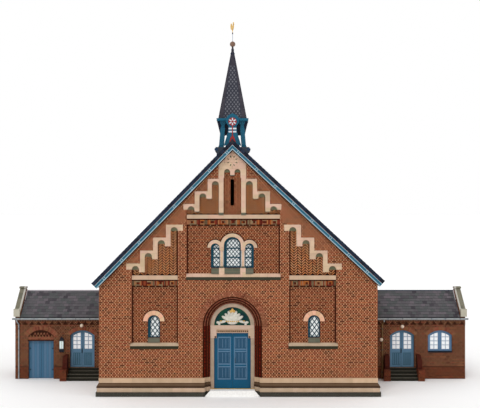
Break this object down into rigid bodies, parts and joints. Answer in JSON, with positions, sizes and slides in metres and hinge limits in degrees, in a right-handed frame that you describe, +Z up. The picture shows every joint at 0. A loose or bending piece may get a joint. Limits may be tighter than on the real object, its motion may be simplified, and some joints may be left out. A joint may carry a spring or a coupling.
{
  "type": "church building",
  "caption": "Gabled brick church with a round-arched portal, stepped stone arcades, ridge turret with spire, and a low slated wing on each side.",
  "frame": {"origin": "on the ground in the middle of the portal, in the plane of the front face of the nave wall", "axes": "+X to the right as the front is seen, +Y from the front into the building, +Z up"},
  "size_m": [30.01, 24.6, 22.8203],
  "materials": {
    "brick": "fired brick with lime mortar joints",
    "wing_brick": "darker fired brick",
    "cream_stone": "dressed cream sandstone",
    "grey_stone": "dressed buff and brown stone",
    "granite": "dark granite",
    "slate": "roofing slate",
    "blue_paint": "strong blue gloss paint on timber",
    "light_blue_paint": "grey-blue paint on timber",
    "teal_paint": "dark teal paint on window frames",
    "zinc": "weathered zinc",
    "gilding": "gilded metal",
    "copper": "browned copper",
    "floor_tile": "clay floor tile",
    "glass": "leaded window glass"
  },
  "bodies": {
    "building": {"arcade_gable": "cream_stone", "arcade_left": "cream_stone", "arcade_right": "cream_stone", "belfry_frame": "blue_paint", "belfry_gablet": "blue_paint", "front_gable": "brick", "front_wall_left": "brick", "front_wall_right": "brick", "left_wing_coping": "cream_stone", "left_wing_end_walls": "wing_brick", "left_wing_floor": "floor_tile", "left_wing_gutter": "zinc", "left_wing_pier_inner": "wing_brick", "left_wing_pier_middle": "wing_brick", "left_wing_roof": "slate", "left_wing_steps": "granite", "left_wing_wall_head": "wing_brick", "nave_floor": "floor_tile", "nave_rear_wall": "brick", "nave_roof_left": "slate", "nave_roof_right": "slate", "nave_wall_left": "brick", "nave_wall_right": "brick", "panel_sill_left": "cream_stone", "panel_sill_right": "cream_stone", "plinth_front_left": "grey_stone", "plinth_front_right": "grey_stone", "plinth_rear": "grey_stone", "portal_frame": "grey_stone", "rear_glazing": "glass", "right_wing_coping": "cream_stone", "right_wing_door_head": "wing_brick", "right_wing_end_walls": "wing_brick", "right_wing_floor": "floor_tile", "right_wing_gutter": "zinc", "right_wing_roof": "slate", "right_wing_steps": "granite", "right_wing_wall_inner": "wing_brick", "right_wing_window": "light_blue_paint", "side_glazing_left": "glass", "side_glazing_right": "glass", "small_window_left": "teal_paint", "small_window_right": "teal_paint", "spire": "slate", "spire_finial": "copper", "threshold_step": "granite", "triplet_surround": "cream_stone", "triplet_window": "teal_paint", "turret_base": "slate", "wall_lantern": "zinc"},
    "main_door_left_leaf": {"main_door_left": "blue_paint"},
    "main_door_right_leaf": {"main_door_right": "blue_paint"},
    "plank_door_left_leaf": {"plank_door_left": "light_blue_paint"},
    "plank_door_right_leaf": {"plank_door_right": "light_blue_paint"},
    "left_wing_door_left_leaf": {"left_glazed_door_left": "light_blue_paint"},
    "left_wing_door_right_leaf": {"left_glazed_door_right": "light_blue_paint"},
    "right_wing_door_left_leaf": {"right_glazed_door_left": "light_blue_paint"},
    "right_wing_door_right_leaf": {"right_glazed_door_right": "light_blue_paint"},
    "vane": {"weather_vane": "gilding"}
  },
  "joints": [
    {"name": "main_door_left_hinge", "type": "hinge", "parent": "building", "child": "main_door_left_leaf", "pos_m": [-1.14, 0.675, 2], "axis": [0, 0, 1], "range_deg": [0, 90]},
    {"name": "main_door_right_hinge", "type": "hinge", "parent": "building", "child": "main_door_right_leaf", "pos_m": [1.14, 0.675, 2], "axis": [0, 0, -1], "range_deg": [0, 90]},
    {"name": "plank_door_left_hinge", "type": "hinge", "parent": "building", "child": "plank_door_left_leaf", "pos_m": [-13.51, 6.25, 1.25], "axis": [0, 0, 1], "range_deg": [0, 90]},
    {"name": "plank_door_right_hinge", "type": "hinge", "parent": "building", "child": "plank_door_right_leaf", "pos_m": [-11.84, 6.25, 1.25], "axis": [0, 0, -1], "range_deg": [0, 90]},
    {"name": "left_wing_door_left_hinge", "type": "hinge", "parent": "building", "child": "left_wing_door_left_leaf", "pos_m": [-10.76, 6.25, 1.9], "axis": [0, 0, 1], "range_deg": [0, 90]},
    {"name": "left_wing_door_right_hinge", "type": "hinge", "parent": "building", "child": "left_wing_door_right_leaf", "pos_m": [-9.15, 6.25, 1.9], "axis": [0, 0, -1], "range_deg": [0, 90]},
    {"name": "right_wing_door_left_hinge", "type": "hinge", "parent": "building", "child": "right_wing_door_left_leaf", "pos_m": [10.36, 6.25, 1.9], "axis": [0, 0, 1], "range_deg": [0, 90]},
    {"name": "right_wing_door_right_hinge", "type": "hinge", "parent": "building", "child": "right_wing_door_right_leaf", "pos_m": [11.97, 6.25, 1.9], "axis": [0, 0, -1], "range_deg": [0, 90]},
    {"name": "vane_spindle", "type": "hinge", "parent": "building", "child": "vane", "pos_m": [0, 2.2, 22.3], "axis": [0, 0, 1], "continuous": true}
  ]
}
